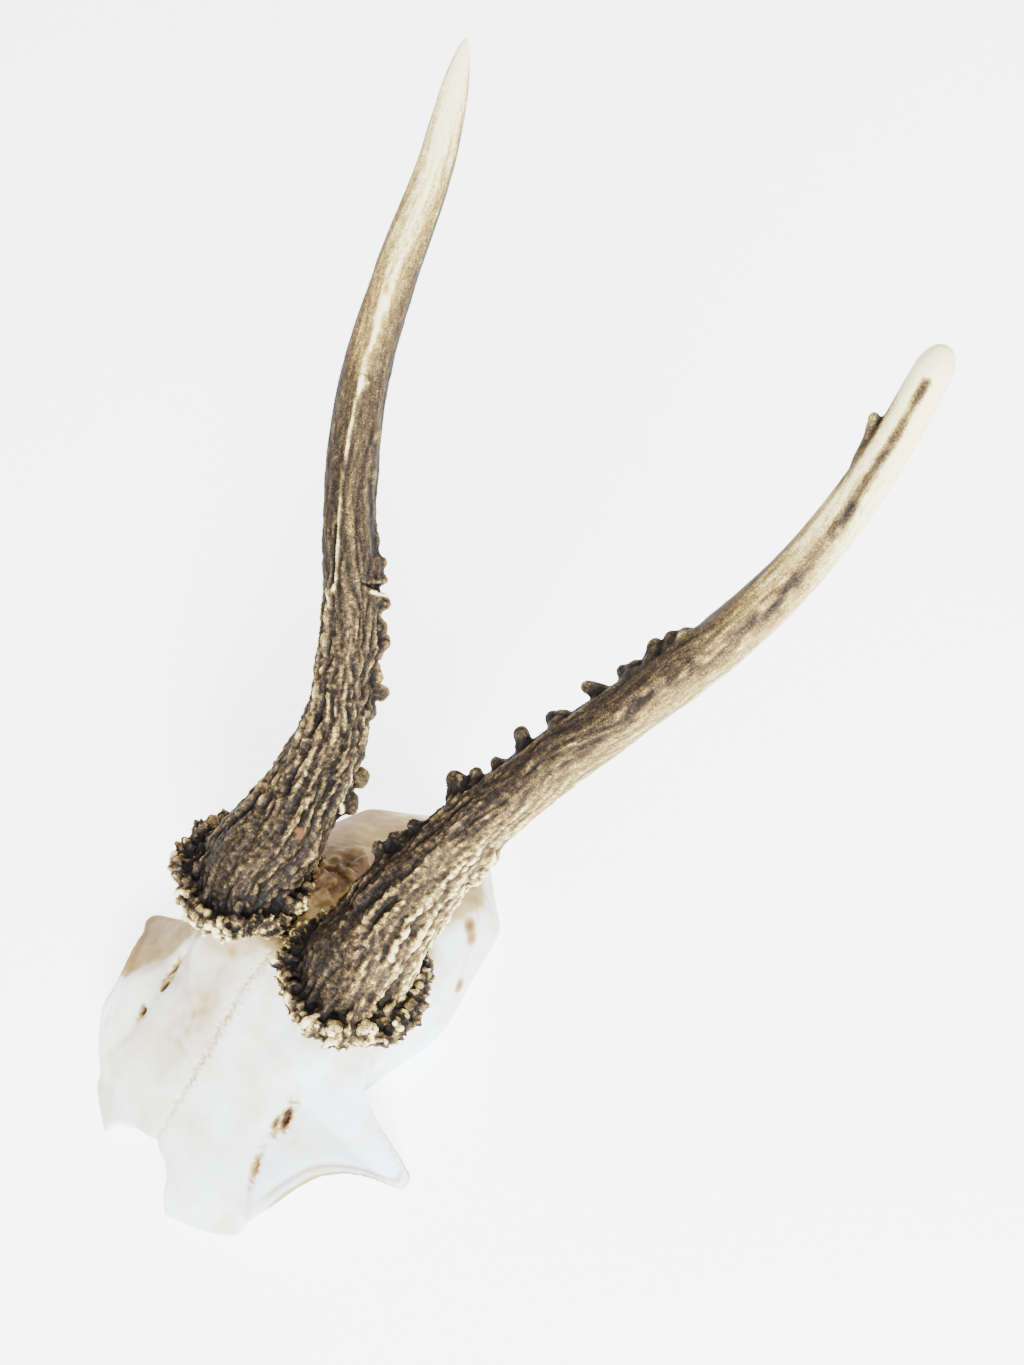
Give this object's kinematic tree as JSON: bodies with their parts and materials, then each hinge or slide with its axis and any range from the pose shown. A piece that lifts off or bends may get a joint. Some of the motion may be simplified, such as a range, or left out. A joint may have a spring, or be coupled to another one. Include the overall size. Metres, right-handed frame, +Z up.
{
  "type": "roe deer skull mount",
  "caption": "Sawn skull cap of a roe buck carrying its pair of pearled spike antlers; rests on the saw cut or is fixed to a board.",
  "frame": {"origin": "middle of the footprint of the whole object, on the plane of the saw cut", "axes": "+Z up from the saw cut, -Y toward the nose, +X toward the animal's left"},
  "size_m": [0.1446, 0.2508, 0.169],
  "materials": {
    "bone": "matt bleached bone",
    "antler": "rough ridged antler, pale and polished at the tips"
  },
  "bodies": {
    "root": {"skull_cap": "bone", "antler_left": "antler", "antler_right": "antler"}
  },
  "joints": []
}
